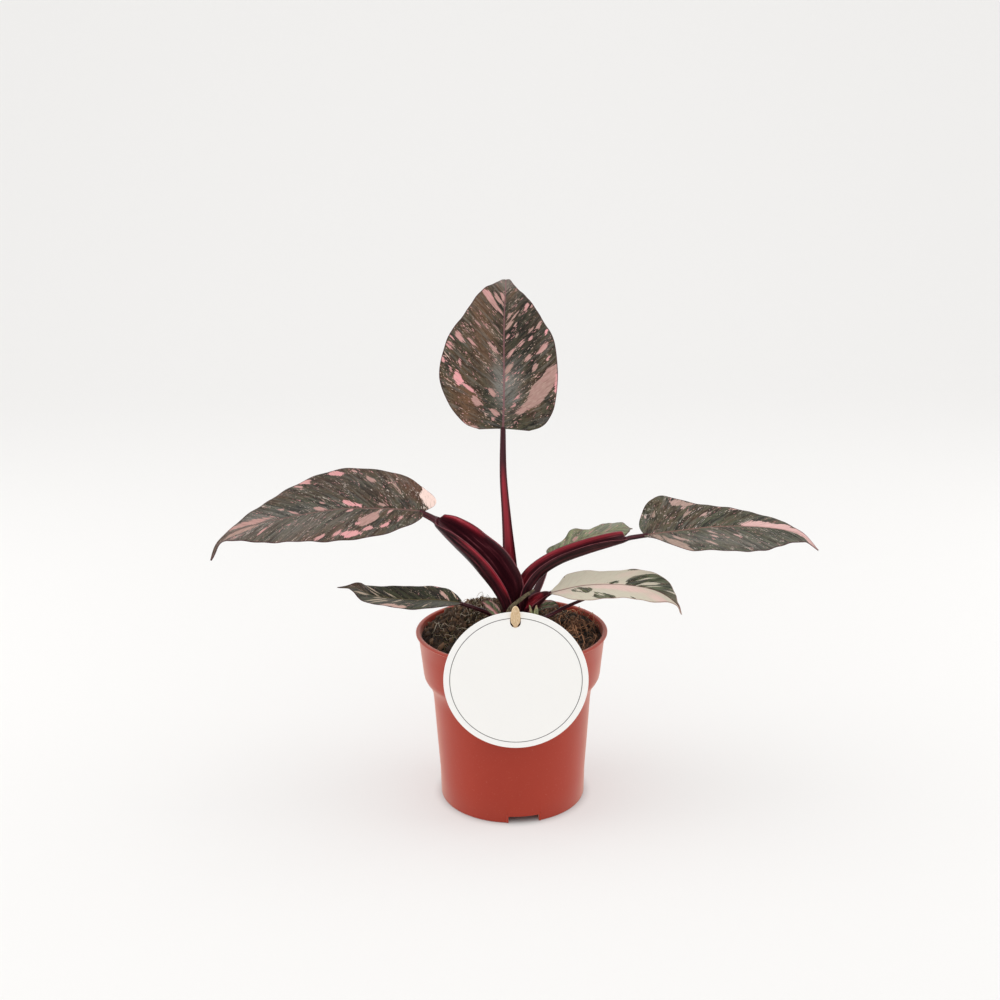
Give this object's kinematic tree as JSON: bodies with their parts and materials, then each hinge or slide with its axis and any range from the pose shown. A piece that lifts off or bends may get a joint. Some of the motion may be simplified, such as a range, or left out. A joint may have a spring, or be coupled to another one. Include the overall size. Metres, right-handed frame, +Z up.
{
  "type": "pink princess philodendron",
  "caption": "Young variegated philodendron with dark green and pink arched leaves on red clasping stalks, in a collared plastic nursery pot with a round card on a stick.",
  "frame": {"origin": "middle of the pot's underside", "axes": "+Z up along the pot's axis, -Y towards the card, +X towards the blade that reaches right"},
  "size_m": [0.3666, 0.1432, 0.3219],
  "materials": {
    "pot_plastic": "satin terracotta",
    "soil": "rough, peat with coir fibres",
    "stalk": "glossy dark red",
    "leaf": "semi-gloss dark green with pink and cream splashes",
    "shoot": "satin yellow green",
    "dry_sheath": "dry, brown",
    "card": "matt white with a thin grey ring",
    "stick": "bare pale wood"
  },
  "bodies": {
    "root": {"pot": "pot_plastic", "soil": "soil", "stem_and_stalks": "stalk", "blade_top": "leaf", "blade_left": "leaf", "blade_right": "leaf", "blade_back": "leaf", "blade_low_left": "leaf", "blade_low_right": "leaf", "blade_hidden": "leaf", "leaf_small_left": "leaf", "leaf_small_right": "leaf", "young_shoot": "shoot", "dry_sheath": "dry_sheath", "label_card": "card", "label_stick": "stick"}
  },
  "joints": []
}
